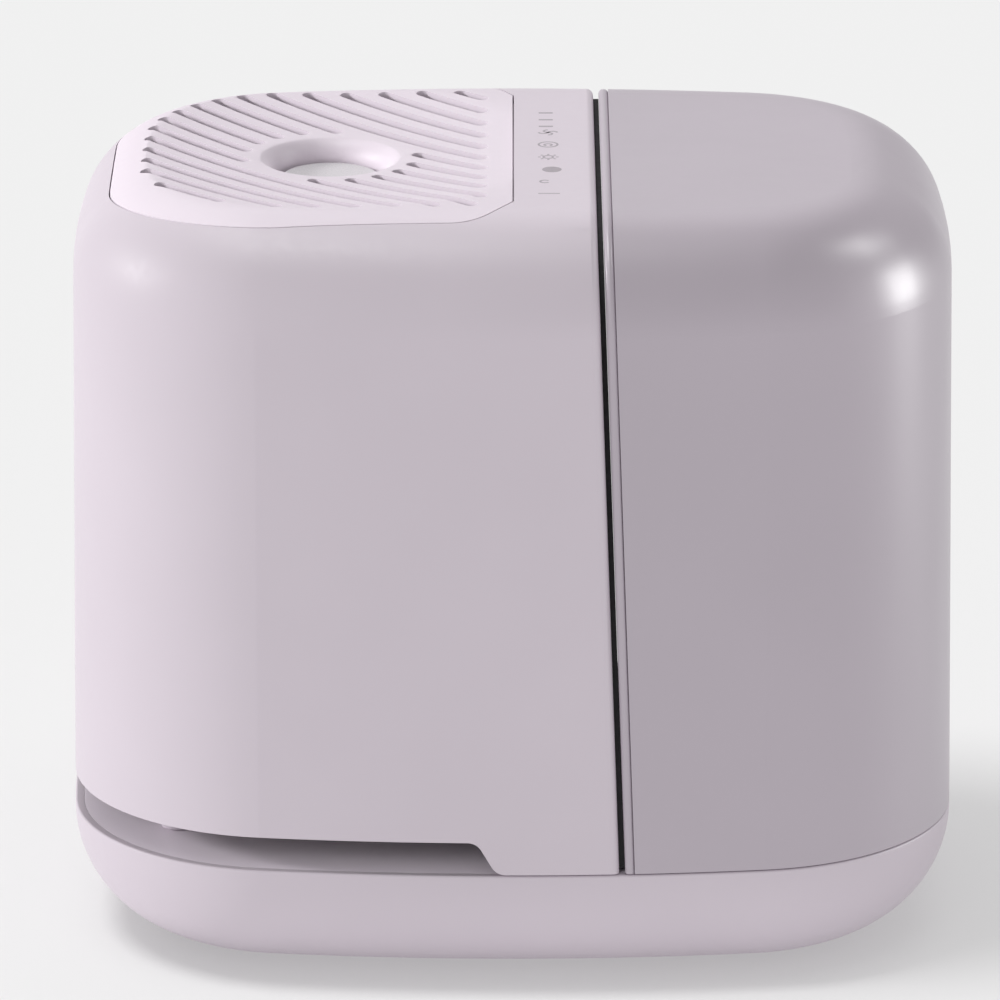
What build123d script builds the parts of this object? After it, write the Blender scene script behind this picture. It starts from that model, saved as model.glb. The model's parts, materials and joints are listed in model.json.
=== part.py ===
"""Cool mist humidifier: a rounded base with a water tray, a lift-off fan housing and a lift-off water tank.

Millimetres. The origin is on the floor at the centre of the plan: +X to the right, +Y to the back, +Z up.
The fan housing stands on the left of the base and the tank on the right, and a leaning gap parts them.
"""

import os
from math import atan, atan2, cos, degrees, radians, sin, tan

from build123d import *

os.makedirs("parts", exist_ok=True)

# ---------------------------------------------------------------- driving dimensions
# Outline at the seam, where the object is widest: eight tangent arcs
WIDTH = 312.0
DEPTH = 224.6
HEIGHT = 275.0
CORNER_R = 77.0
SIDE_BOW = 0.8  # how far the left and right sides bulge past the corner arcs
FRONT_BOW = 5.0  # the same at the front and back
DRAFT = 0.67  # degrees, the upper sides lean in
TOP_ROUND = 35.0
BOTTOM_ROUND = 43.0

# Levels
FOOT_PROUD = 1.5  # the base's underside is this far above the floor
SEAM_Z = 45.7  # top of the base
SEAM_GAP = 0.5  # the housing and the tank stop this far above the base
INTAKE_TOP = 58.0  # lower edge of the housing over the air intake
INTAKE_END_X = -9.0  # middle of the step that ends the intake slot
INTAKE_STEP_R = 5.5

# Parting gap between the housing and the tank
PARTING_TOP_X = 29.8
PARTING_SLOPE = 0.036  # sideways run for each millimetre down
PARTING_GAP = 2.0

# Walls
WALL = 2.8
TUB_WALL = 3.0
TRAY_WALL = 2.2
TANK_WALL = 2.6
SIDE_PLATE = 3.4
PANEL_T = 3.0

# Fan, filter and scent well share one upright axis
AXIS_X = -64.0
AXIS_Y = 6.0
FAN_DECK_Z = 185.0
DECK_T = 2.6
DUCT_R = 50.0
COLLAR_R = 46.0
COLLAR_LOW = 125.0
BLADE_R = 47.5
HUB_R = 20.0
BLADE_LOW = 198.0
BLADE_HIGH = 222.0
SPIDER_Z = 227.0
SHAFT_R = 1.5
RUNNING = 0.05

# Evaporator filter
FILTER_OUT = 58.0
FILTER_IN = 38.0
FILTER_LOW = 15.5
FILTER_HIGH = 116.0
PLEATS = 36

# Water tray
TRAY_FLOOR = 12.0
BASIN_R = 64.0
CHANNEL_W = 22.0
FLOAT_X = 19.0
FLOAT_POCKET_R = 13.0
CAP_X = 94.0
CAP_POCKET_R = 34.0

# Tank valve
NECK_R = 24.2
NECK_BORE = 21.0
NECK_LOW = 31.8
CAP_R = 28.5
CAP_LOW = 26.0
CAP_HIGH = 44.0
SEAT_Z = 30.0
VALVE_LIFT = 4.0
STEM_R = 4.0
FOOT_Z = 17.0

# Grille panel in plan
PANEL_LEFT = -140.0
PANEL_FRONT = -84.0
PANEL_BACK = 92.0
PANEL_KINK = 21.5  # the right end's corners are cut back this far
PANEL_KINK_X = -11.9
PANEL_GAP = 0.5
PANEL_LOW = 225.0  # below the panel's lowest point
LEDGE = 4.0
DISH_R = 78.0
DISH_DEPTH = 4.4
SLOT_W = 4.8
SLOT_STEP = 13.6  # along X, between neighbours
SLOT_COUNT = 17
SLOT_FIRST = 56.0  # X + Y along the first slot
LIP_R = 27.0
WELL_R = 19.4
WELL_FLOOR = 256.0
PUCK_R = 17.5
PUCK_TOP = 264.0

LEAN = atan(PARTING_SLOPE)
HALF_W = WIDTH / 2
HALF_D = DEPTH / 2
LOW_EDGE = SEAM_Z + SEAM_GAP
DISH_SPHERE = (DISH_R**2 + DISH_DEPTH**2) / (2 * DISH_DEPTH)


# ---------------------------------------------------------------- shared shapes
def outline(inset=0.0):
    """The plan outline moved in by inset, as eight tangent arcs made into a face."""
    px = HALF_W - CORNER_R - SIDE_BOW
    py = HALF_D - CORNER_R - FRONT_BOW
    reach_x, reach_y = CORNER_R + SIDE_BOW, CORNER_R + FRONT_BOW
    side_r = (reach_x**2 + py**2 - CORNER_R**2) / (2 * SIDE_BOW)
    front_r = (reach_y**2 + px**2 - CORNER_R**2) / (2 * FRONT_BOW)
    turn_side = degrees(atan2(py, px - HALF_W + side_r))
    turn_front = degrees(atan2(py - HALF_D + front_r, px))
    corner = turn_front - turn_side
    with BuildLine() as loop:
        for centre_x, start in ((HALF_W - side_r, -turn_side), (side_r - HALF_W, 180 - turn_side)):
            CenterArc((centre_x, 0), side_r - inset, start, 2 * turn_side)
        for centre_y, start in ((HALF_D - front_r, turn_front), (front_r - HALF_D, 180 + turn_front)):
            CenterArc((0, centre_y), front_r - inset, start, 180 - 2 * turn_front)
        for centre, start in (
            ((px, py), turn_side),
            ((-px, py), 180 - turn_front),
            ((-px, -py), 180 + turn_side),
            ((px, -py), 360 - turn_front),
        ):
            CenterArc(centre, CORNER_R - inset, start, corner)
    make_face(loop.edges())


def upper_form(inset, low):
    """The housing and tank together as one drafted, round-topped solid, moved in by inset."""
    drafted = inset + (low - SEAM_Z) * tan(radians(DRAFT))
    with BuildPart() as form:
        with BuildSketch(Plane.XY.offset(low)):
            outline(drafted)
        extrude(amount=HEIGHT - inset - low, taper=DRAFT)
        fillet(form.edges().group_by(Axis.Z)[-1], TOP_ROUND - inset)
    return form.part


def parting(shift):
    """The leaning plane between the housing and the tank, moved right by shift; it faces the tank."""
    across = (PARTING_TOP_X + shift / cos(LEAN), 0, HEIGHT)
    return Plane(origin=across, x_dir=(0, 1, 0), z_dir=(cos(LEAN), 0, sin(LEAN)))


def panel_prism(grow, low=230.0, high=HEIGHT + 5):
    """The grille panel's plan, grown by grow, as an upright block."""
    with BuildPart() as prism:
        with BuildSketch(Plane.XY.offset(low)) as plan:
            with BuildLine():
                Polyline(
                    (0, PANEL_FRONT + PANEL_KINK),
                    (0, PANEL_BACK - PANEL_KINK),
                    (PANEL_KINK_X, PANEL_BACK),
                    (PANEL_LEFT, PANEL_BACK),
                    (PANEL_LEFT, PANEL_FRONT),
                    (PANEL_KINK_X, PANEL_FRONT),
                    close=True,
                )
            make_face()
            by_x = plan.vertices().group_by(Axis.X)
            fillet(by_x[0], 60)
            fillet(plan.vertices().filter_by_position(Axis.X, PANEL_KINK_X - 1, PANEL_KINK_X + 1), 16)
            if grow:
                offset(amount=grow)
        extrude(amount=high - low)
    return prism.part


def dish(deeper=0.0):
    """The ball that hollows the panel towards the well; a larger one hollows its underside."""
    with BuildPart() as ball:
        centre_z = HEIGHT - DISH_DEPTH + DISH_SPHERE
        with Locations((AXIS_X, AXIS_Y, centre_z)):
            Sphere(DISH_SPHERE + deeper)
        split(bisect_by=Plane.XY.offset(HEIGHT + 6), keep=Keep.BOTTOM)
    return ball.part


def tube(outer, inner, low, high, x=AXIS_X, y=AXIS_Y):
    """An upright tube, or a plain cylinder where inner is 0."""
    with BuildPart() as ring:
        with BuildSketch(Plane.XY.offset(low)):
            with Locations((x, y)):
                Circle(outer)
                if inner:
                    Circle(inner, mode=Mode.SUBTRACT)
        extrude(amount=high - low)
    return ring.part


def screws(points, head_z, length, up, head_r=3.4, shank_r=1.4):
    """Pan-head screws as separate solids; up says which way the heads face."""
    way = 1 if up else -1
    with BuildPart() as group:
        with BuildSketch(Plane.XY.offset(head_z)):
            with Locations(*points):
                Circle(head_r)
        extrude(amount=1.8 * way)
        with BuildSketch(Plane.XY.offset(head_z)):
            with Locations(*points):
                Circle(shank_r)
        extrude(amount=-length * way)
    return group.part


def save(part, name):
    """Label a finished piece and write it as its own STEP file."""
    part.label = name
    export_step(part, f"parts/{name}.step")


# ---------------------------------------------------------------- base
SCREW_SPOTS = [(-38, -66), (16, 62), (16, -62), (104, 41), (104, -41)]
FOOT_SPOTS = {
    "front_left": (-84, -46),
    "front_right": (84, -46),
    "back_left": (-84, 46),
    "back_right": (84, 46),
}
COLUMN_SPOTS = [(-118, 62), (-118, -62), (12, 88), (12, -88)]
FOOT_R = 9.0
FOOT_RECESS = 1.0
BOSS_R = 4.5
BOSS_LOW = FOOT_PROUD + TUB_WALL + 1
PIN_R = 2.2
PIN_HIGH = SEAM_Z + 6

# Outer tub: rounded underside, straight rim, recesses for feet and screw heads
with BuildPart() as tub_hollow:
    with BuildSketch(Plane.XY.offset(FOOT_PROUD + TUB_WALL)):
        outline(TUB_WALL)
    extrude(amount=SEAM_Z)
    fillet(tub_hollow.edges().group_by(Axis.Z)[0], BOTTOM_ROUND - TUB_WALL)

with BuildPart() as base_tub:
    with BuildSketch(Plane.XY.offset(FOOT_PROUD)):
        outline()
    extrude(amount=SEAM_Z - FOOT_PROUD)
    fillet(base_tub.edges().group_by(Axis.Z)[0], BOTTOM_ROUND)
    fillet(base_tub.edges().group_by(Axis.Z)[-1], 0.8)
    add(tub_hollow.part, mode=Mode.SUBTRACT)
    with BuildSketch(Plane.XY.offset(FOOT_PROUD)):
        with Locations(*FOOT_SPOTS.values()):
            Circle(FOOT_R + 0.1)
    extrude(amount=FOOT_RECESS, mode=Mode.SUBTRACT)
    with BuildSketch(Plane.XY.offset(FOOT_PROUD)):
        with Locations(*SCREW_SPOTS):
            Circle(3.6)
    extrude(amount=1.9, mode=Mode.SUBTRACT)
    with BuildSketch(Plane.XY.offset(FOOT_PROUD)):
        with Locations(*SCREW_SPOTS):
            Circle(1.7)
    extrude(amount=TUB_WALL, mode=Mode.SUBTRACT)
save(base_tub.part, "base_tub")

for place, (foot_x, foot_y) in FOOT_SPOTS.items():
    with BuildPart() as foot:
        with BuildSketch(Plane.XY):
            with Locations((foot_x, foot_y)):
                Circle(FOOT_R)
        extrude(amount=FOOT_PROUD + FOOT_RECESS)
        chamfer(foot.edges().group_by(Axis.Z)[0], 0.5)
    save(foot.part, f"foot_{place}")

# Water tray: deck flush with the tub's rim, filter basin, channel, float pocket and valve pocket
with BuildPart() as water_tray:
    with BuildSketch(Plane.XY.offset(SEAM_Z - 3)):
        outline(TUB_WALL + 0.1)
    extrude(amount=3)
    with BuildSketch(Plane.XY.offset(TRAY_FLOOR - TRAY_WALL)):
        with Locations((AXIS_X, AXIS_Y)):
            Circle(BASIN_R + TRAY_WALL)
        with Locations((CAP_X, 0)):
            Circle(CAP_POCKET_R + TRAY_WALL)
        with Locations((FLOAT_X, 0)):
            Circle(FLOAT_POCKET_R + TRAY_WALL)
        with Locations(((AXIS_X + CAP_X) / 2, 0)):
            Rectangle(CAP_X - AXIS_X, CHANNEL_W + 2 * TRAY_WALL)
    extrude(amount=SEAM_Z - 3 - TRAY_FLOOR + TRAY_WALL)
    with BuildSketch(Plane.XY.offset(TRAY_FLOOR)):
        with Locations((AXIS_X, AXIS_Y)):
            Circle(BASIN_R)
        with Locations((CAP_X, 0)):
            Circle(CAP_POCKET_R)
        with Locations((FLOAT_X, 0)):
            Circle(FLOAT_POCKET_R)
        with Locations(((AXIS_X + CAP_X) / 2, 0)):
            Rectangle(CAP_X - AXIS_X, CHANNEL_W)
    extrude(amount=SEAM_Z, mode=Mode.SUBTRACT)
    # valve post, float guide pin, screw bosses below the deck and locating pins above it
    with BuildSketch(Plane.XY.offset(TRAY_FLOOR)):
        with Locations((CAP_X, 0)):
            Circle(STEM_R)
    extrude(amount=FOOT_Z - 0.3 - TRAY_FLOOR)
    with BuildSketch(Plane.XY.offset(TRAY_FLOOR)):
        with Locations((FLOAT_X, 0)):
            Circle(2.0)
    extrude(amount=SEAM_Z - TRAY_FLOOR)
    with BuildSketch(Plane.XY.offset(BOSS_LOW)):
        with Locations(*SCREW_SPOTS):
            Circle(BOSS_R)
    extrude(amount=SEAM_Z - 3 - BOSS_LOW)
    with BuildSketch(Plane.XY.offset(BOSS_LOW)):
        with Locations(*SCREW_SPOTS):
            Circle(1.4)
    extrude(amount=14, mode=Mode.SUBTRACT)
    with BuildSketch(Plane.XY.offset(SEAM_Z)):
        with Locations(*COLUMN_SPOTS):
            Circle(PIN_R)
    extrude(amount=PIN_HIGH - SEAM_Z)
save(water_tray.part, "water_tray")

save(screws(SCREW_SPOTS, FOOT_PROUD + 1.9, 12, up=False), "tray_screws")

# Float cover: a pierced disc laid over the float pocket
with BuildPart() as float_cover:
    with BuildSketch(Plane.XY.offset(SEAM_Z)):
        with Locations((FLOAT_X, 0)):
            Circle(FLOAT_POCKET_R + 2)
            with PolarLocations(8.2, 6):
                Circle(2.0, mode=Mode.SUBTRACT)
    extrude(amount=1.4)
save(float_cover.part, "float_cover")

# ---------------------------------------------------------------- float
FLOAT_LOW = TRAY_FLOOR + 0.5
FLOAT_TALL = 14.0
FLOAT_TRAVEL = 15.0
with BuildPart() as float_block:
    with BuildSketch(Plane.XY.offset(FLOAT_LOW)):
        with Locations((FLOAT_X, 0)):
            Circle(10.5)
            Circle(2.4, mode=Mode.SUBTRACT)
    extrude(amount=FLOAT_TALL)
    with BuildSketch(Plane.XY.offset(FLOAT_LOW + FLOAT_TALL - 2.5)):
        with Locations((FLOAT_X, 0)):
            Circle(7.5)
            Circle(4.5, mode=Mode.SUBTRACT)
    extrude(amount=2.5, mode=Mode.SUBTRACT)
    fillet(float_block.edges().group_by(Axis.Z)[0].sort_by(SortBy.LENGTH)[-1], 1.5)
save(float_block.part, "float")

float_top = FLOAT_LOW + FLOAT_TALL
save(tube(7.5, 4.5, float_top - 2.5, float_top - 0.3, FLOAT_X, 0), "float_magnet")

# ---------------------------------------------------------------- evaporator filter
# Pleated wick: a closed zigzag ring
with BuildPart() as filter_wick:
    with BuildSketch(Plane.XY.offset(FILTER_LOW)) as pleated:
        with BuildLine():
            zigzag = []
            for fold in range(2 * PLEATS):
                reach = FILTER_OUT - 1 if fold % 2 else FILTER_IN + 5
                turn = radians(180 * fold / PLEATS)
                zigzag.append((AXIS_X + reach * cos(turn), AXIS_Y + reach * sin(turn)))
            Polyline(*zigzag, close=True)
        make_face()
        with BuildLine():
            zigzag_in = []
            for fold in range(2 * PLEATS):
                reach = FILTER_OUT - 6 if fold % 2 else FILTER_IN
                turn = radians(180 * fold / PLEATS)
                zigzag_in.append((AXIS_X + reach * cos(turn), AXIS_Y + reach * sin(turn)))
            Polyline(*zigzag_in, close=True)
        make_face(mode=Mode.SUBTRACT)
    extrude(amount=FILTER_HIGH - FILTER_LOW)
save(filter_wick.part, "filter_wick")

# Lower frame: an open ring with feet that stands in the basin; its lip keeps the wick in place
with BuildPart() as filter_foot:
    add(tube(FILTER_OUT + 2, FILTER_IN - 4, TRAY_FLOOR + 1.5, FILTER_LOW))
    add(tube(FILTER_OUT + 2, FILTER_OUT + 0.2, FILTER_LOW, FILTER_LOW + 4))
    with BuildSketch(Plane.XY.offset(TRAY_FLOOR)):
        with Locations((AXIS_X, AXIS_Y)):
            with PolarLocations(48, 6):
                Circle(4)
    extrude(amount=1.5)
save(filter_foot.part, "filter_foot_ring")

# Upper frame: closes the top of the wick round the air hole, with a pull bar across the hole
with BuildPart() as filter_top:
    add(tube(FILTER_OUT + 2, FILTER_IN - 4, FILTER_HIGH, FILTER_HIGH + 2.5))
    add(tube(FILTER_OUT + 2, FILTER_OUT + 0.2, FILTER_HIGH - 4, FILTER_HIGH))
    with BuildSketch(Plane.XY.offset(FILTER_HIGH)):
        with Locations((AXIS_X, AXIS_Y)):
            Rectangle(2 * FILTER_IN, 7)
    extrude(amount=2.5)
    fillet(filter_top.edges().filter_by(Axis.X), 0.8)
save(filter_top.part, "filter_top_ring")

# ---------------------------------------------------------------- fan housing
COLUMN_R = 5.5
outer_form = upper_form(0, LOW_EDGE)
DECK_TOP = FAN_DECK_Z + DECK_T
INLET_X, INLET_Z = -20.0, 76.0
BOARD_SPOTS = [(14.5, -72), (14.5, 72)]
BOARD_Z = 262.0

with BuildPart() as hollow:
    add(upper_form(WALL, LOW_EDGE - 1))
    split(bisect_by=parting(-PARTING_GAP / 2 - WALL), keep=Keep.BOTTOM)

# webs that tie the columns to the front and back walls
with BuildPart() as webs:
    with BuildSketch(Plane.XY.offset(INTAKE_TOP + 6)):
        for column_x, column_y in COLUMN_SPOTS:
            with Locations((column_x, column_y + (20 if column_y > 0 else -20))):
                Rectangle(2.4, 40)
    extrude(amount=FAN_DECK_Z - INTAKE_TOP - 6)
    add(outer_form, mode=Mode.INTERSECT)

# ledge that carries the grille panel's rim, and the recess that the panel lies in
with BuildPart() as ledge:
    add(upper_form(WALL - 0.2, PANEL_LOW))
    add(upper_form(PANEL_T + 2.6, PANEL_LOW), mode=Mode.SUBTRACT)
    add(panel_prism(3), mode=Mode.INTERSECT)

with BuildPart() as recess:
    add(panel_prism(PANEL_GAP))
    add(upper_form(PANEL_T + 0.1, PANEL_LOW), mode=Mode.SUBTRACT)

# block behind the level sensor, on the leaning wall
with BuildPart() as sensor_block:
    with Locations((31, 0, 62)):
        Box(10.8, 10, 14)
    split(bisect_by=parting(-PARTING_GAP / 2 - 1), keep=Keep.BOTTOM)

with BuildPart() as housing_shell:
    add(outer_form)
    split(bisect_by=parting(-PARTING_GAP / 2), keep=Keep.BOTTOM)
    face_edges = housing_shell.faces().sort_by(Axis.X)[-1].edges().sort_by(Axis.Z)[1:]
    fillet(face_edges, 2.5)
    add(hollow.part, mode=Mode.SUBTRACT)
    # intake: the lower edge is raised all round the left side, and ends in an S-shaped step
    with BuildSketch(Plane.XZ.offset(-DEPTH)):
        with BuildLine():
            FilletPolyline(
                (-WIDTH, INTAKE_TOP),
                (INTAKE_END_X - 3.5, INTAKE_TOP),
                (INTAKE_END_X + 3.5, LOW_EDGE),
                (INTAKE_END_X + 30, LOW_EDGE),
                radius=INTAKE_STEP_R,
            )
            Polyline(
                (INTAKE_END_X + 30, LOW_EDGE),
                (INTAKE_END_X + 30, LOW_EDGE - 9),
                (-WIDTH, LOW_EDGE - 9),
                (-WIDTH, INTAKE_TOP),
            )
        make_face()
    extrude(amount=2 * DEPTH, mode=Mode.SUBTRACT)
    # columns that carry the fan deck and stand on the base
    with BuildSketch(Plane.XY.offset(LOW_EDGE)):
        with Locations(*COLUMN_SPOTS):
            Circle(COLUMN_R)
    extrude(amount=FAN_DECK_Z - LOW_EDGE)
    add(webs.part)
    with BuildSketch(Plane.XY.offset(LOW_EDGE)):
        with Locations(*COLUMN_SPOTS):
            Circle(PIN_R + 0.4)
    extrude(amount=8, mode=Mode.SUBTRACT)
    with BuildSketch(Plane.XY.offset(FAN_DECK_Z - 12)):
        with Locations(*COLUMN_SPOTS):
            Circle(1.4)
    extrude(amount=12, mode=Mode.SUBTRACT)
    add(ledge.part)
    add(recess.part, mode=Mode.SUBTRACT)
    add(panel_prism(-LEDGE), mode=Mode.SUBTRACT)
    add(sensor_block.part)
    # bosses for the control board, hole for the power inlet
    with BuildSketch(Plane.XY.offset(BOARD_Z + 1.6)):
        with Locations(*BOARD_SPOTS):
            Circle(3.5)
            Circle(1.2, mode=Mode.SUBTRACT)
    extrude(amount=HEIGHT - WALL - BOARD_Z - 1.5)
    with BuildSketch(Plane.XZ.offset(-HALF_D - 5)):
        with Locations((INLET_X, INLET_Z)):
            Circle(7)
    extrude(amount=20, mode=Mode.SUBTRACT)
save(housing_shell.part, "housing_shell")

# Grille panel: dished skin, well with a flared lip, diagonal slots that stop short of both
with BuildSketch() as slot_field:
    with Locations(((PANEL_LEFT + 1.5) / 2, (PANEL_FRONT + PANEL_BACK) / 2)):
        Rectangle(-PANEL_LEFT - 23.5, PANEL_BACK - PANEL_FRONT - 35)
    fillet(slot_field.vertices().group_by(Axis.X)[0], 50)
    fillet(slot_field.vertices().group_by(Axis.X)[-1], 6)
    with Locations((AXIS_X, AXIS_Y)):
        Circle(LIP_R + 4, mode=Mode.SUBTRACT)

# the room under the skin, less a thick rim that rests on the ledge
with BuildPart() as kept_rim:
    add(panel_prism(1))
    add(panel_prism(-LEDGE - 1.5), mode=Mode.SUBTRACT)

with BuildPart() as kept_skin:
    add(dish(PANEL_T))
    add(kept_rim.part, mode=Mode.SUBTRACT)

with BuildPart() as under:
    add(upper_form(PANEL_T, PANEL_LOW))
    add(kept_skin.part, mode=Mode.SUBTRACT)

# the well with its flared lip
lip_z = HEIGHT - DISH_DEPTH + 0.9
with BuildPart() as well:
    with BuildSketch(Plane.XZ.offset(-AXIS_Y)):
        with BuildLine():
            Polyline((AXIS_X, HEIGHT + 2), (AXIS_X, WELL_FLOOR), (AXIS_X + WELL_R, WELL_FLOOR))
            Line((AXIS_X + WELL_R, WELL_FLOOR), (AXIS_X + WELL_R, lip_z - 8))
            throat = RadiusArc((AXIS_X + WELL_R, lip_z - 8), (AXIS_X + LIP_R + 1, lip_z), 8.3)
            Polyline(throat @ 1, (AXIS_X + LIP_R + 1, HEIGHT + 2), (AXIS_X, HEIGHT + 2))
        make_face()
    revolve(axis=Axis((AXIS_X, AXIS_Y, 0), (0, 0, 1)))

with BuildPart() as grille_panel:
    add(panel_prism(0, high=HEIGHT + 5))
    add(upper_form(0, PANEL_LOW), mode=Mode.INTERSECT)
    add(dish(), mode=Mode.SUBTRACT)
    add(under.part, mode=Mode.SUBTRACT)
    add(tube(WELL_R + 2.2, 0, WELL_FLOOR - 2.2, HEIGHT - DISH_DEPTH - 1))
    add(well.part, mode=Mode.SUBTRACT)
    # each slot follows the part of a 45 degree line that lies in the slot field
    for number in range(SLOT_COUNT):
        across = SLOT_FIRST - SLOT_STEP * number
        line = Edge.make_line((across - HEIGHT, HEIGHT), (across + HEIGHT, -HEIGHT))
        for chord in slot_field.sketch.intersect(line).edges():
            with BuildSketch(Plane.XY.offset(WELL_FLOOR - 20)):
                with Locations(chord @ 0.5):
                    SlotCenterToCenter(chord.length, SLOT_W, rotation=-45)
            extrude(amount=HEIGHT, mode=Mode.SUBTRACT)
save(grille_panel.part, "grille_panel")

# ---------------------------------------------------------------- scent puck
with BuildPart() as aroma_puck:
    add(tube(PUCK_R, 0, WELL_FLOOR + 0.3, PUCK_TOP))
    fillet(aroma_puck.edges().group_by(Axis.Z)[-1], 1.2)
    fillet(aroma_puck.edges().group_by(Axis.Z)[0], 0.6)
save(aroma_puck.part, "aroma_puck")

# ---------------------------------------------------------------- fan
SHROUD_SPOTS = [
    (AXIS_X + 56 * cos(radians(turn)), AXIS_Y + 56 * sin(radians(turn))) for turn in (45, 135, 225, 315)
]
POWER_SPOTS = [(3, -36), (3, 36), (19, -36), (19, 36)]
STANDOFF = 5.0

# Fan deck: closes the housing above the filter; its collar draws the air out of the filter's middle
with BuildPart() as fan_deck:
    add(upper_form(WALL + 0.3, FAN_DECK_Z))
    split(bisect_by=Plane.XY.offset(DECK_TOP), keep=Keep.BOTTOM)
    split(bisect_by=parting(-PARTING_GAP / 2 - WALL - 0.3), keep=Keep.BOTTOM)
    add(tube(COLLAR_R + 2, 0, COLLAR_LOW, FAN_DECK_Z))
    add(tube(COLLAR_R, 0, COLLAR_LOW, DECK_TOP), mode=Mode.SUBTRACT)
    with BuildSketch(Plane.XY.offset(DECK_TOP)):
        with Locations(*POWER_SPOTS):
            Circle(3)
    extrude(amount=STANDOFF)
    with BuildSketch(Plane.XY.offset(FAN_DECK_Z)):
        with Locations(*COLUMN_SPOTS, *SHROUD_SPOTS):
            Circle(1.6)
    extrude(amount=DECK_T, mode=Mode.SUBTRACT)
    with BuildSketch(Plane.XY.offset(FAN_DECK_Z)):
        with Locations(*POWER_SPOTS):
            Circle(1.4)
    extrude(amount=DECK_T + STANDOFF, mode=Mode.SUBTRACT)
save(fan_deck.part, "fan_deck")

# Guard inside the collar: three rings on four spokes
GUARD_Z = FAN_DECK_Z - 6
GUARD_T = 2.5
with BuildPart() as fan_guard:
    for ring_r in (15.5, 30.5, COLLAR_R):
        add(tube(ring_r, ring_r - 2, GUARD_Z, GUARD_Z + GUARD_T))
    with BuildSketch(Plane.XY.offset(GUARD_Z)):
        with Locations((AXIS_X, AXIS_Y)):
            Rectangle(2 * COLLAR_R - 2, 2.4)
            Rectangle(2.4, 2 * COLLAR_R - 2)
            Circle(14, mode=Mode.SUBTRACT)
    extrude(amount=GUARD_T)
save(fan_guard.part, "fan_guard")

# Shroud: duct round the blades with a flange below and the motor's spider across the top
with BuildPart() as fan_shroud:
    add(tube(DUCT_R + 10, DUCT_R, DECK_TOP, DECK_TOP + 2.4))
    add(tube(DUCT_R + 2.2, DUCT_R, DECK_TOP, SPIDER_Z + 3))
    with BuildSketch(Plane.XY.offset(SPIDER_Z)):
        with Locations((AXIS_X, AXIS_Y)):
            Circle(17)
            Rectangle(2 * DUCT_R + 2, 5, rotation=45)
            Rectangle(5, 2 * DUCT_R + 2, rotation=45)
    extrude(amount=3)
    with BuildSketch(Plane.XY.offset(DECK_TOP)):
        with Locations(*SHROUD_SPOTS):
            Circle(1.6)
    extrude(amount=2.4, mode=Mode.SUBTRACT)
save(fan_shroud.part, "fan_shroud")

MOTOR_LOW = 203.0
BUSH_R = 4.0
save(tube(15, BUSH_R, MOTOR_LOW, SPIDER_Z), "fan_motor")
save(tube(BUSH_R, SHAFT_R + RUNNING, MOTOR_LOW + 1, SPIDER_Z), "motor_bush")

# Impeller: a cup over the motor with pitched blades
with BuildPart() as impeller:
    with Locations((AXIS_X, AXIS_Y, (BLADE_LOW + BLADE_HIGH) / 2)):
        with PolarLocations((HUB_R + BLADE_R) / 2, 7):
            Box(BLADE_R - HUB_R + 6, 30, 1.8, rotation=(38, 0, 0))
    add(tube(BLADE_R, HUB_R - 0.5, BLADE_LOW, BLADE_HIGH), mode=Mode.INTERSECT)
    add(tube(HUB_R, HUB_R - 2, BLADE_LOW, BLADE_HIGH))
    add(tube(HUB_R, SHAFT_R, BLADE_LOW, BLADE_LOW + 2.5))
save(impeller.part, "impeller")
save(tube(SHAFT_R, 0, BLADE_LOW, SPIDER_Z - 2), "fan_shaft")
save(tube(HUB_R - 2, HUB_R - 4.1, MOTOR_LOW + 3, BLADE_HIGH - 2), "rotor_magnet")

# ---------------------------------------------------------------- controls and power
KEY_X = 14.5
KEY_STEP = 15.4
KEYS = [-38.6 + KEY_STEP * number for number in range(6)]
with BuildPart() as control_board:
    with Locations((KEY_X, 0, BOARD_Z + 0.8)):
        Box(17, 156, 1.6)
    with BuildSketch(Plane.XY.offset(BOARD_Z)):
        with Locations(*BOARD_SPOTS):
            Circle(1.6)
    extrude(amount=1.6, mode=Mode.SUBTRACT)
save(control_board.part, "control_board")

UNDER_TOP = HEIGHT - WALL
with BuildPart() as touch_film:
    with Locations((KEY_X, -0.5, UNDER_TOP - 0.25)):
        Box(12, 112, 0.5)
save(touch_film.part, "touch_film")

with BuildPart() as light_guide:
    with Locations((KEY_X, -0.5, BOARD_Z + 2.6)):
        Box(9, 100, 2)
    with BuildSketch(Plane.XY.offset(BOARD_Z + 3.6)):
        with Locations(*[(KEY_X, key) for key in KEYS]):
            Circle(3.4)
    extrude(amount=UNDER_TOP - 0.5 - BOARD_Z - 3.6)
save(light_guide.part, "light_guide")
save(screws(BOARD_SPOTS, BOARD_Z, 7, up=False, head_r=3.0, shank_r=1.2), "board_screws")
save(screws(COLUMN_SPOTS, DECK_TOP, 12, up=True), "deck_screws")
save(screws(SHROUD_SPOTS, DECK_TOP + 2.4, 5.0, up=True, head_r=2.8), "shroud_screws")

POWER_Z = DECK_TOP + STANDOFF
with BuildPart() as power_board:
    with Locations((11, 0, POWER_Z + 0.8)):
        Box(22, 80, 1.6)
    with BuildSketch(Plane.XY.offset(POWER_Z)):
        with Locations(*POWER_SPOTS):
            Circle(1.6)
    extrude(amount=1.6, mode=Mode.SUBTRACT)
save(power_board.part, "power_board")

with BuildPart() as capacitors:
    with BuildSketch(Plane.XY.offset(POWER_Z + 1.6)):
        with Locations((8, -24), (8, -11), (12, 24)):
            Circle(5)
    extrude(amount=13)
save(capacitors.part, "capacitors")

with BuildPart() as board_sockets:
    with Locations((15, 8, POWER_Z + 4.6), (8, 8, POWER_Z + 4.6)):
        Box(5, 12, 6)
save(board_sockets.part, "board_sockets")
save(screws(POWER_SPOTS, POWER_Z + 1.6, 6, up=True, head_r=2.8), "power_board_screws")

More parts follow.
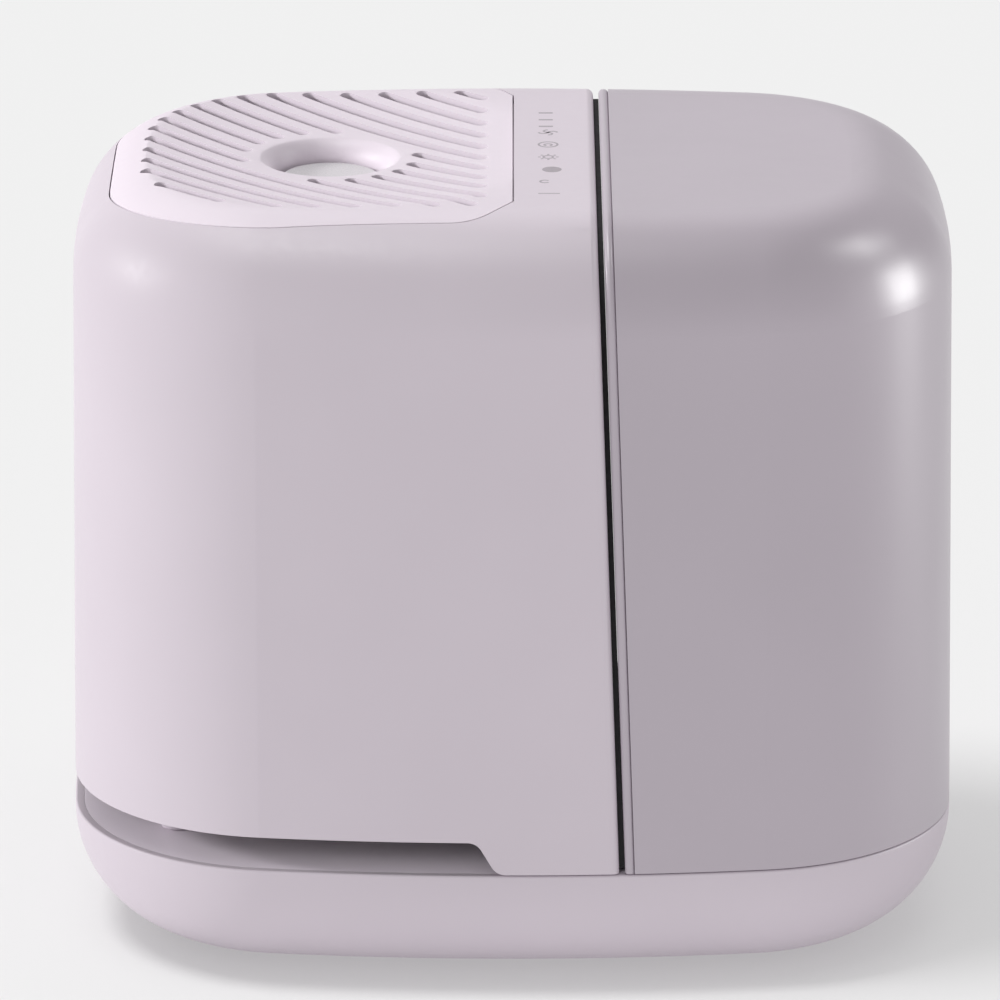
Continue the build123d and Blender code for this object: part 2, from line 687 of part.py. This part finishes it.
# Power inlet: a barrel socket behind a bezel in the back wall
with BuildPart() as dc_socket:
    with Locations((INLET_X, HALF_D - 10, INLET_Z)):
        Box(13, 12, 13)
    with BuildSketch(Plane.XZ.offset(-HALF_D + 4)):
        with Locations((INLET_X, INLET_Z)):
            Circle(3.2)
            Circle(1.0, mode=Mode.SUBTRACT)
    extrude(amount=9, mode=Mode.SUBTRACT)
save(dc_socket.part, "dc_socket")

with BuildPart() as inlet_bezel:
    with BuildSketch(Plane.XZ.offset(-HALF_D + 1)):
        with Locations((INLET_X, INLET_Z)):
            Circle(6.9)
            Circle(4.4, mode=Mode.SUBTRACT)
    extrude(amount=3.0)
    chamfer(inlet_bezel.edges().group_by(Axis.Y)[-1], 0.5)
save(inlet_bezel.part, "inlet_bezel")

with BuildPart() as level_sensor:
    with Locations((24.8, 0, 60)):
        Box(1.6, 14, 20)
    with Locations((22.8, 0, 53)):
        Box(2.4, 4, 4)
save(level_sensor.part, "level_sensor")

# ---------------------------------------------------------------- tank
TANK_FLOOR = LOW_EDGE + 3
LUGS = (30, 150, 270)


def sector(outer, inner, low, high, start, size):
    """Part of an upright tube round the valve's axis, from one angle over a sweep."""
    with BuildPart() as slice_:
        with BuildSketch(Plane.XZ):
            with Locations(((outer + inner) / 2, (high + low) / 2)):
                Rectangle(outer - inner, high - low)
        revolve(axis=Axis.Z, revolution_arc=size)
    return slice_.part.rotate(Axis.Z, start).moved(Location((CAP_X, 0, 0)))


# Tank shell: open on the side towards the housing, with the filling neck underneath
with BuildPart() as water_room:
    add(upper_form(TANK_WALL, TANK_FLOOR))
    split(bisect_by=parting(PARTING_GAP / 2 + SIDE_PLATE - 1), keep=Keep.TOP)

with BuildPart() as tank_shell:
    add(outer_form)
    split(bisect_by=parting(PARTING_GAP / 2 + SIDE_PLATE), keep=Keep.TOP)
    add(water_room.part, mode=Mode.SUBTRACT)
    add(tube(NECK_R, 0, NECK_LOW, TANK_FLOOR, CAP_X, 0))
    add(tube(NECK_BORE, 0, NECK_LOW, TANK_FLOOR, CAP_X, 0), mode=Mode.SUBTRACT)
    for lug in LUGS:
        add(sector(NECK_R + 1.8, NECK_R - 0.5, 36, 38.5, lug - 7, 14))
save(tank_shell.part, "tank_shell")

# Side plate: closes the tank along the parting gap
with BuildPart() as side_plate:
    add(outer_form)
    split(bisect_by=parting(PARTING_GAP / 2), keep=Keep.TOP)
    split(bisect_by=parting(PARTING_GAP / 2 + SIDE_PLATE), keep=Keep.BOTTOM)
    fillet(side_plate.faces().sort_by(Axis.X)[0].edges(), 1.6)
save(side_plate.part, "tank_side_plate")

# ---------------------------------------------------------------- tank valve
TURN = 60.0

# Cap: bayonet rim, seat for the seal and a spoked guide for the plunger's stem
with BuildPart() as valve_cap:
    add(tube(CAP_R, 0, CAP_LOW, CAP_HIGH, CAP_X, 0))
    add(tube(NECK_R + 0.4, 0, SEAT_Z, CAP_HIGH, CAP_X, 0), mode=Mode.SUBTRACT)
    with BuildSketch(Plane.XY.offset(CAP_LOW)):
        with Locations((CAP_X, 0)):
            Circle(12)
            Circle(7, mode=Mode.SUBTRACT)
            Rectangle(26, 3, mode=Mode.SUBTRACT)
            Rectangle(3, 26, mode=Mode.SUBTRACT)
    extrude(amount=SEAT_Z - CAP_LOW, mode=Mode.SUBTRACT)
    add(tube(STEM_R + RUNNING, 0, CAP_LOW, SEAT_Z, CAP_X, 0), mode=Mode.SUBTRACT)
    for lug in LUGS:
        entry = lug - 7 - TURN - 1.5
        add(sector(NECK_R + 2.3, NECK_R, 35.5, 39, entry, TURN + 17), mode=Mode.SUBTRACT)
        add(sector(NECK_R + 2.3, NECK_R, 38, CAP_HIGH, entry, 17), mode=Mode.SUBTRACT)
    with BuildSketch(Plane.XY.offset(CAP_LOW)):
        with Locations((CAP_X, 0)):
            with PolarLocations(CAP_R + 0.6, 24):
                Circle(1.6)
    extrude(amount=CAP_HIGH - CAP_LOW - 2, mode=Mode.SUBTRACT)
save(valve_cap.part, "valve_cap")
save(tube(NECK_R, NECK_BORE, SEAT_Z, SEAT_Z + 1.4, CAP_X, 0), "cap_gasket")

SEAL_LOW = SEAT_Z + VALVE_LIFT
with BuildPart() as valve_plunger:
    add(tube(8, 0, FOOT_Z, FOOT_Z + 2, CAP_X, 0))
    add(tube(STEM_R, 0, FOOT_Z, SEAL_LOW + 3.5, CAP_X, 0))
    add(tube(15, 0, SEAL_LOW + 1.5, SEAL_LOW + 3.5, CAP_X, 0))
save(valve_plunger.part, "valve_plunger")
save(tube(15.5, STEM_R, SEAL_LOW, SEAL_LOW + 1.5, CAP_X, 0), "valve_seal")

# Spring between the plunger's foot and the cap's floor
WIRE_R = 0.45
SPRING_R = 6.2
spring_room = CAP_LOW - FOOT_Z - 2 - 2 * WIRE_R
with BuildPart() as valve_spring:
    with BuildLine() as coil:
        Helix(
            pitch=spring_room / 3.5,
            height=spring_room,
            radius=SPRING_R,
            center=(CAP_X, 0, FOOT_Z + 2 + WIRE_R),
        )
    with BuildSketch(Plane(origin=coil.wires()[0] @ 0, z_dir=coil.wires()[0] % 0)):
        Circle(WIRE_R)
    sweep()
save(valve_spring.part, "valve_spring")
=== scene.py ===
"""Cool mist humidifier: looks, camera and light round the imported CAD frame, in metres."""

import json
import math

import bmesh
import bpy
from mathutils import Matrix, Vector


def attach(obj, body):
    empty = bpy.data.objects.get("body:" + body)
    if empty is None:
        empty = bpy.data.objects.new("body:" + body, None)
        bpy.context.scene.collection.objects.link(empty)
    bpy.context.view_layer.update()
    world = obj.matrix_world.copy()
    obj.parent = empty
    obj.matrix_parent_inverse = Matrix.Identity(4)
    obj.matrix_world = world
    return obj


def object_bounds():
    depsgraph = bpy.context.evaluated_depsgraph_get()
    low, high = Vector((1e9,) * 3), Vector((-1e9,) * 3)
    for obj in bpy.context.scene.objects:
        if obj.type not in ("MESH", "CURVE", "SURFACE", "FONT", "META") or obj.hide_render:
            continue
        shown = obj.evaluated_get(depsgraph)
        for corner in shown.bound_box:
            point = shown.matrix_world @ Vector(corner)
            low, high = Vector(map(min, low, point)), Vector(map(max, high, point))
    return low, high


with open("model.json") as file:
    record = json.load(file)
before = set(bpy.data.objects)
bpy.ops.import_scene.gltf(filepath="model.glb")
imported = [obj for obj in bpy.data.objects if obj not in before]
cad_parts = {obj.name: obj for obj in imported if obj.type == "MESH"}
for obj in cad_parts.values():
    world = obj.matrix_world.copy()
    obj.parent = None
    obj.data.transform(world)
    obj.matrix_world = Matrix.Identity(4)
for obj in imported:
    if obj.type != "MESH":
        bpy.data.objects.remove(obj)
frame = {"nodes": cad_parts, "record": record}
cad_box = [list(corner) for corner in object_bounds()]
MM = 0.001

# ---------------------------------------------------------------- materials
# each slot's look: kind, colour, roughness
LOOKS = {
    "housing_plastic": ("moulded", (0.700, 0.628, 0.694), 0.46),
    "base_plastic": ("moulded", (0.690, 0.618, 0.684), 0.48),
    # tray_plastic: lighter than the housing's plastic, painted light on the deck that lies in the housing's
    # shade
    "tray_plastic": ("moulded", (0.800, 0.725, 0.800), 0.42),
    "tank_plastic": ("glossy", (0.520, 0.462, 0.520), 0.38),
    "tank_plate": ("glossy", (0.520, 0.462, 0.520), 0.38),
    # pad_rubber: near-black, painted shade for the deep parting gap
    "pad_rubber": ("rubber", (0.018, 0.017, 0.019), 0.90),
    "foot_rubber": ("rubber", (0.300, 0.280, 0.300), 0.85),
    "seal_rubber": ("rubber", (0.780, 0.760, 0.760), 0.55),
    "screw_steel": ("metal", (0.620, 0.620, 0.640), 0.32),
    "magnet": ("metal", (0.200, 0.200, 0.215), 0.55),
    "float_plastic": ("moulded", (0.840, 0.840, 0.830), 0.60),
    "wick_paper": ("paper", (0.830, 0.800, 0.730), 0.95),
    "filter_frame": ("moulded", (0.560, 0.500, 0.560), 0.50),
    "scent_puck": ("felt", (0.620, 0.590, 0.620), 0.90),
    "inner_plastic": ("moulded", (0.620, 0.580, 0.620), 0.50),
    "fan_plastic": ("moulded", (0.060, 0.060, 0.064), 0.45),
    "motor_steel": ("metal", (0.420, 0.420, 0.440), 0.30),
    "bush_bronze": ("metal", (0.600, 0.400, 0.200), 0.40),
    "circuit_board": ("board", (0.020, 0.160, 0.070), 0.35),
    "touch_film": ("metal", (0.780, 0.440, 0.260), 0.35),
    "light_guide": ("glossy", (0.820, 0.830, 0.850), 0.15),
    "capacitor_sleeve": ("glossy", (0.030, 0.035, 0.060), 0.30),
    "socket_plastic": ("moulded", (0.780, 0.770, 0.700), 0.45),
    "black_plastic": ("moulded", (0.030, 0.030, 0.032), 0.40),
    "cap_plastic": ("moulded", (0.640, 0.590, 0.640), 0.45),
    "plunger_plastic": ("moulded", (0.800, 0.780, 0.800), 0.40),
    "key_print": ("ink", (0.400, 0.355, 0.395), 0.50),
}


class Graph:
    """A small helper for writing one material's node graph."""

    def __init__(self, name):
        self.material = bpy.data.materials.new(name)
        self.material.use_nodes = True
        self.nodes = self.material.node_tree.nodes
        self.links = self.material.node_tree.links
        self.shader = self.nodes["Principled BSDF"]
        self.place = self.nodes.new("ShaderNodeTexCoord").outputs["Object"]

    def noise(self, scale, detail=2.0, stretch=(1, 1, 1)):
        """Noise of a feature size of about 1/scale metres, stretched along an axis where wanted."""
        mapping = self.nodes.new("ShaderNodeMapping")
        mapping.inputs["Scale"].default_value = stretch
        self.links.new(self.place, mapping.inputs["Vector"])
        texture = self.nodes.new("ShaderNodeTexNoise")
        texture.inputs["Scale"].default_value = scale
        texture.inputs["Detail"].default_value = detail
        self.links.new(mapping.outputs[0], texture.inputs["Vector"])
        return texture.outputs["Fac"]

    def spread(self, value, low, high):
        """value's middle range mapped onto low to high."""
        node = self.nodes.new("ShaderNodeMapRange")
        node.inputs["From Min"].default_value = 0.3
        node.inputs["From Max"].default_value = 0.7
        node.inputs["To Min"].default_value = low
        node.inputs["To Max"].default_value = high
        self.links.new(value, node.inputs["Value"])
        return node.outputs["Result"]

    def tint(self, value, first, second):
        """The shader's base colour runs from first to second with value."""
        node = self.nodes.new("ShaderNodeMix")
        node.data_type = "RGBA"
        node.inputs["A"].default_value = (*first, 1)
        node.inputs["B"].default_value = (*second, 1)
        self.links.new(value, node.inputs["Factor"])
        self.links.new(node.outputs["Result"], self.shader.inputs["Base Color"])

    def rough(self, value):
        self.links.new(value, self.shader.inputs["Roughness"])

    def bump(self, value, height, strength=1.0):
        """Relief of the given height in metres; a second call adds to the first."""
        node = self.nodes.new("ShaderNodeBump")
        node.inputs["Strength"].default_value = strength
        node.inputs["Distance"].default_value = height
        self.links.new(value, node.inputs["Height"])
        socket = self.shader.inputs["Normal"]
        if socket.links:
            self.links.new(socket.links[0].from_socket, node.inputs["Normal"])
        self.links.new(node.outputs["Normal"], socket)


def shade(colour, factor):
    return tuple(min(1.0, channel * factor) for channel in colour)


def moulded(graph, colour, roughness):
    """Satin moulded plastic: a fine spark-eroded grain and faint clouding."""
    graph.tint(graph.spread(graph.noise(14), 0, 1), shade(colour, 0.985), shade(colour, 1.015))
    graph.rough(graph.spread(graph.noise(300, 3), roughness - 0.04, roughness + 0.05))
    graph.bump(graph.noise(2600, 3), 0.025 * MM, 0.5)
    graph.shader.inputs["Specular IOR Level"].default_value = 0.4


def glossy(graph, colour, roughness):
    """Polished, tinted plastic: broad ripple from moulding, faint wipe marks in the gloss."""
    graph.tint(graph.spread(graph.noise(9), 0, 1), shade(colour, 0.98), shade(colour, 1.02))
    marks = graph.noise(60, 4, (1, 1, 0.15))
    graph.rough(graph.spread(marks, roughness - 0.03, roughness + 0.04))
    graph.bump(graph.noise(22, 1), 0.08 * MM, 0.25)
    graph.shader.inputs["Coat Weight"].default_value = 0.3
    graph.shader.inputs["Coat Roughness"].default_value = 0.34


def rubber(graph, colour, roughness):
    graph.tint(graph.spread(graph.noise(120, 3), 0, 1), shade(colour, 0.9), shade(colour, 1.1))
    graph.rough(graph.spread(graph.noise(500), roughness - 0.06, roughness + 0.06))
    graph.bump(graph.noise(1800, 3), 0.05 * MM, 0.6)


def metal(graph, colour, roughness):
    """Turned or plated metal, with fine marks round it."""
    graph.shader.inputs["Metallic"].default_value = 1.0
    lines = graph.noise(700, 2, (1, 1, 8))
    graph.tint(graph.spread(lines, 0, 1), shade(colour, 0.92), shade(colour, 1.06))
    graph.rough(graph.spread(lines, roughness - 0.06, roughness + 0.08))
    graph.bump(lines, 0.01 * MM, 0.4)


def paper(graph, colour, roughness):
    """Wicking paper: long fibres."""
    fibres = graph.noise(900, 5, (1, 1, 0.3))
    graph.tint(graph.spread(fibres, 0, 1), shade(colour, 0.86), shade(colour, 1.05))
    graph.rough(graph.spread(graph.noise(80), roughness - 0.08, roughness))
    graph.bump(fibres, 0.15 * MM, 0.7)
    graph.shader.inputs["Sheen Weight"].default_value = 0.2


def felt(graph, colour, roughness):
    fibres = graph.noise(1500, 6)
    graph.tint(graph.spread(fibres, 0, 1), shade(colour, 0.88), shade(colour, 1.08))
    graph.rough(graph.spread(graph.noise(300), roughness - 0.06, roughness))
    graph.bump(fibres, 0.12 * MM, 0.8)
    graph.shader.inputs["Sheen Weight"].default_value = 0.3


def board(graph, colour, roughness):
    """Circuit board: solder mask over a grid of copper tracks."""
    tracks = graph.nodes.new("ShaderNodeTexBrick")
    tracks.inputs["Scale"].default_value = 160
    tracks.inputs["Mortar Size"].default_value = 0.06
    graph.links.new(graph.place, tracks.inputs["Vector"])
    graph.tint(tracks.outputs["Fac"], colour, shade(colour, 1.8))
    graph.rough(graph.spread(graph.noise(400), roughness - 0.05, roughness + 0.05))
    graph.bump(tracks.outputs["Fac"], 0.04 * MM, 0.5)


def ink(graph, colour, roughness):
    """Print on the plastic: flat, with a slightly uneven coat."""
    graph.tint(graph.spread(graph.noise(900), 0, 1), shade(colour, 0.96), shade(colour, 1.04))
    graph.rough(graph.spread(graph.noise(400), roughness - 0.04, roughness + 0.04))


KINDS = {kind.__name__: kind for kind in (moulded, glossy, rubber, metal, paper, felt, board, ink)}


def look(name):
    """The material of that name in LOOKS."""
    kind, colour, roughness = LOOKS[name]
    graph = Graph(name)
    KINDS[kind](graph, colour, roughness)
    return graph.material


materials = {name: look(name) for name in LOOKS}
for entry in frame["record"]["subparts"]:
    for slot in frame["nodes"][entry["node"]].material_slots:
        slot.material = materials[entry["material_slot"]]


def soften(name, width, angle=40):
    """Rounds a CAD node's sharp edges by width millimetres, in the looks only, and evens out its shading."""
    thing = frame["nodes"][name]
    thing.modifiers.new("weld", "WELD").merge_threshold = 0.01 * MM
    edges = thing.modifiers.new("edges", "BEVEL")
    edges.width = width * MM
    edges.segments = 2
    edges.limit_method = "ANGLE"
    edges.angle_limit = math.radians(angle)
    thing.modifiers.new("shading", "WEIGHTED_NORMAL").weight = 80


soften("grille_panel", 0.7)
soften("tank_side_plate", 0.5)

# ---------------------------------------------------------------- black sheet in the parting gap, painted shade
# The gap leans: its middle is at GAP_TOP_X at the top and runs right by GAP_SLOPE for each millimetre down.
GAP_TOP_X = 29.8
GAP_SLOPE = 0.036
SHADE_SHEET_BACK = -1.0  # the sheet's face on the housing, from the gap's middle
SHADE_SHEET_FACE = 0.9  # its face towards the tank
SHADE_SHEET_INSET = 4.0
SHADE_SHEET_LOW = 47.5


def gap_shade_sheet():
    """A thin black sheet on the housing's leaning face, painted shade: its near-black stands in for the
    shade deep in the gap and stops the eye from passing through it.
    """
    half_depth = cad_box[1][1] / MM - SHADE_SHEET_INSET
    top = cad_box[1][2] / MM - SHADE_SHEET_INSET
    round_r = 28.0
    rim = [(half_depth, SHADE_SHEET_LOW)]
    for step in range(13):
        turn = math.radians(90 * step / 12)
        centre = (half_depth - 4 - round_r, top - round_r)
        rim.append((centre[0] + round_r * math.cos(turn), centre[1] + round_r * math.sin(turn)))
    rim += [(-y, z) for y, z in reversed(rim)]
    bm = bmesh.new()
    layers = []
    for shift in (SHADE_SHEET_BACK, SHADE_SHEET_FACE):
        line = []
        for y, z in rim:
            x = GAP_TOP_X + (cad_box[1][2] / MM - z) * GAP_SLOPE + shift
            line.append(bm.verts.new((x * MM, y * MM, z * MM)))
        layers.append(line)
    bm.faces.new(layers[0])
    bm.faces.new(reversed(layers[1]))
    for index in range(len(rim)):
        after = (index + 1) % len(rim)
        bm.faces.new((layers[0][index], layers[1][index], layers[1][after], layers[0][after]))
    bmesh.ops.recalc_face_normals(bm, faces=bm.faces[:])
    mesh = bpy.data.meshes.new("parting_gap_shade_sheet")
    bm.to_mesh(mesh)
    bm.free()
    piece = bpy.data.objects.new("parting_gap_shade_sheet", mesh)
    bpy.context.scene.collection.objects.link(piece)
    # the sheet's near-black colour is painted shade of the deep gap
    mesh.materials.append(materials["pad_rubber"])
    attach(piece, "housing")


gap_shade_sheet()

# ---------------------------------------------------------------- touch marks on the housing's top
MARK_X = 12.5
MARK_T = 0.03
LINE = 0.8
FAN_Y = 22.8
DROP_Y = 7.5
SUN_Y = -8.2
POWER_Y = -23.7
NIGHT_Y = -38.5
SENSOR_Y = -53.1
BARS_Y = (47.8, 39.0, 30.5)
TOP_Z = cad_box[1][2] / MM


def ribbon(bm, path, width):
    """A flat ribbon along path, in the bmesh; it closes where path ends on its start."""
    closed = path[0] == path[-1]
    points = [Vector(point) for point in (path[:-1] if closed else path)]
    count = len(points)
    sides = []
    for index, point in enumerate(points):
        before = points[index - 1] if closed or index else point
        after = points[(index + 1) % count] if closed or index < count - 1 else point
        way = (after - before).normalized()
        across = Vector((-way.y, way.x)) * width / 2
        sides.append([bm.verts.new((*((point + across * side) * MM), TOP_Z * MM)) for side in (1, -1)])
    for index in range(count if closed else count - 1):
        first, second = sides[index], sides[(index + 1) % count]
        bm.faces.new((first[0], first[1], second[1], second[0]))


def ring(x, y, radius, start=0, sweep=360, steps=32):
    angles = [math.radians(start + sweep * step / steps) for step in range(steps + 1)]
    points = [(x + radius * math.cos(turn), y + radius * math.sin(turn)) for turn in angles]
    return points[:-1] + [points[0]] if sweep == 360 else points


def disc(bm, x, y, radius):
    bm.faces.new([bm.verts.new((px * MM, py * MM, TOP_Z * MM)) for px, py in ring(x, y, radius)[:-1]])


def mark(name, draw):
    """One printed mark: draw fills the flat shape, which is then given a thickness."""
    bm = bmesh.new()
    draw(bm)
    for face in bm.faces:
        if face.normal.z < 0:
            face.normal_flip()
    grown = bmesh.ops.extrude_face_region(bm, geom=bm.faces[:])
    tops = [item for item in grown["geom"] if isinstance(item, bmesh.types.BMVert)]
    bmesh.ops.translate(bm, vec=(0, 0, MARK_T * MM), verts=tops)
    bmesh.ops.recalc_face_normals(bm, faces=bm.faces[:])
    mesh = bpy.data.meshes.new(name)
    bm.to_mesh(mesh)
    bm.free()
    piece = bpy.data.objects.new(name, mesh)
    bpy.context.scene.collection.objects.link(piece)
    mesh.materials.append(materials["key_print"])
    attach(piece, "housing")


def fan_mark(bm):
    for blade in range(4):
        turn = math.radians(90 * blade)
        centre = (MARK_X + 1.7 * math.cos(turn), FAN_Y + 1.7 * math.sin(turn))
        ribbon(bm, ring(*centre, 1.5, 90 * blade, 200, 12), LINE)


def drop_mark(bm):
    ribbon(bm, ring(MARK_X, DROP_Y, 3.3), LINE)
    ribbon(bm, ring(MARK_X, DROP_Y - 0.4, 1.3, -60, 300, 16), LINE)


def sun_mark(bm):
    middle = Vector((MARK_X, SUN_Y))
    ribbon(bm, ring(*middle, 1.7), LINE)
    for ray in range(8):
        turn = math.radians(45 * ray)
        way = Vector((math.cos(turn), math.sin(turn)))
        ribbon(bm, [middle + way * 2.6, middle + way * 3.6], LINE)


for number, bar_y in enumerate(BARS_Y):
    mark(f"level_bar_{number}", lambda bm: ribbon(bm, [(9.3, bar_y), (14.3, bar_y)], 1.4))
mark("fan_mark", fan_mark)
mark("drop_mark", drop_mark)
mark("sun_mark", sun_mark)
mark("power_mark", lambda bm: disc(bm, 13.7, POWER_Y, 3.4))
mark("night_mark", lambda bm: ribbon(bm, ring(11.2, NIGHT_Y, 1.6, 40, 280, 16), LINE))
mark("sensor_line", lambda bm: ribbon(bm, [(8.9, SENSOR_Y), (16.3, SENSOR_Y)], LINE))

# ---------------------------------------------------------------- floor
bpy.ops.mesh.primitive_plane_add(size=14)
floor = bpy.context.object
floor.name = "floor"
floor_graph = Graph("floor_paint")
floor_graph.shader.inputs["Base Color"].default_value = (0.5, 0.5, 0.5, 1)
floor_graph.shader.inputs["Emission Color"].default_value = (1, 1, 1, 1)
floor_graph.shader.inputs["Emission Strength"].default_value = 0.30
floor_graph.shader.inputs["Roughness"].default_value = 1.0
floor_graph.shader.inputs["Specular IOR Level"].default_value = 0.0
floor.data.materials.append(floor_graph.material)

# ---------------------------------------------------------------- light
FILL = 0.51
BACKDROP = 0.863
world = bpy.data.worlds.new("studio")
bpy.context.scene.world = world
world.use_nodes = True
sky = world.node_tree.nodes["Background"]
path = world.node_tree.nodes.new("ShaderNodeLightPath")
level = world.node_tree.nodes.new("ShaderNodeMapRange")
level.inputs["To Min"].default_value = FILL
level.inputs["To Max"].default_value = BACKDROP
world.node_tree.links.new(path.outputs["Is Camera Ray"], level.inputs["Value"])
world.node_tree.links.new(level.outputs["Result"], sky.inputs["Strength"])
sky.inputs["Color"].default_value = (1, 1, 1, 1)


def receivers(name, things):
    """A group that a lamp can be limited to."""
    group = bpy.data.collections.new(name)
    for thing in things:
        group.objects.link(thing)
    return group


meshes = [thing for thing in bpy.context.scene.objects if thing.type == "MESH"]
product = receivers("product", [thing for thing in meshes if thing != floor])
ground = receivers("ground", [floor])
tray = receivers("tray", [frame["nodes"]["water_tray"]])
grille = receivers("grille", [frame["nodes"]["grille_panel"]])


def lamp(name, kind, strength, towards, group):
    light = bpy.data.lights.new(name, kind)
    light.energy = strength
    thing = bpy.data.objects.new(name, light)
    bpy.context.scene.collection.objects.link(thing)
    thing.rotation_mode = "QUATERNION"
    thing.rotation_quaternion = towards.to_track_quat("Z", "Y")
    thing.light_linking.receiver_collection = group
    return thing


def sun(name, strength, azimuth, elevation, softness, group):
    """A far lamp: azimuth 0 stands in front of the object and 90 to its right."""
    turn, rise = math.radians(azimuth), math.radians(elevation)
    towards = Vector((math.sin(turn) * math.cos(rise), -math.cos(turn) * math.cos(rise), math.sin(rise)))
    thing = lamp(name, "SUN", strength, towards, group)
    thing.data.angle = math.radians(softness)
    return thing


def softbox(name, power, size, place, target):
    """A panel that shows only as a highlight in glossy surfaces."""
    thing = lamp(name, "AREA", power, Vector(place) - Vector(target), product)
    thing.data.shape = "RECTANGLE"
    thing.data.size, thing.data.size_y = size
    thing.location = place
    thing.visible_diffuse = False


sun("key", 1.50, -94, 19.5, 8, product)
sun("front_fill", 0.26, -20, 14, 50, product)
sun("back_top", 1.45, 180, 39, 36, product).visible_glossy = False
sun("slot_key", 1.25, -68, 17, 10, grille)
sun("deck_fill", 1.1, -35, 25, 30, tray)
sun("floor_wash", 0.60, 0, 89, 50, ground)
sun("floor_shadow", 1.50, -78, 70, 20, ground)
softbox("above_left", 6, (0.6, 0.2), (-0.25, -0.05, 1.2), (0, 0, 0.2))
softbox("right_strip", 18, (0.25, 0.7), (1.4, 0.12, 0.3), (0.15, 0, 0.15))
softbox("right_high", 5, (0.3, 0.4), (1.1, 0.15, 1.2), (0.15, 0, 0.2))

# ---------------------------------------------------------------- camera
TILT = 0.325  # radians below the horizon
DISTANCE = 3.1
AIM_Z = 0.1374
camera_data = bpy.data.cameras.new("camera")
camera_data.lens = 314.0
camera_data.sensor_width = 36.0
camera_data.shift_x = -0.0125
camera_data.shift_y = 0.0226
camera = bpy.data.objects.new("camera", camera_data)
camera.location = (0, -DISTANCE * math.cos(TILT), AIM_Z + DISTANCE * math.sin(TILT))
camera.rotation_euler = (math.pi / 2 - TILT, 0, 0)
bpy.context.scene.collection.objects.link(camera)
bpy.context.scene.camera = camera
bpy.context.scene.view_settings.view_transform = "Standard"
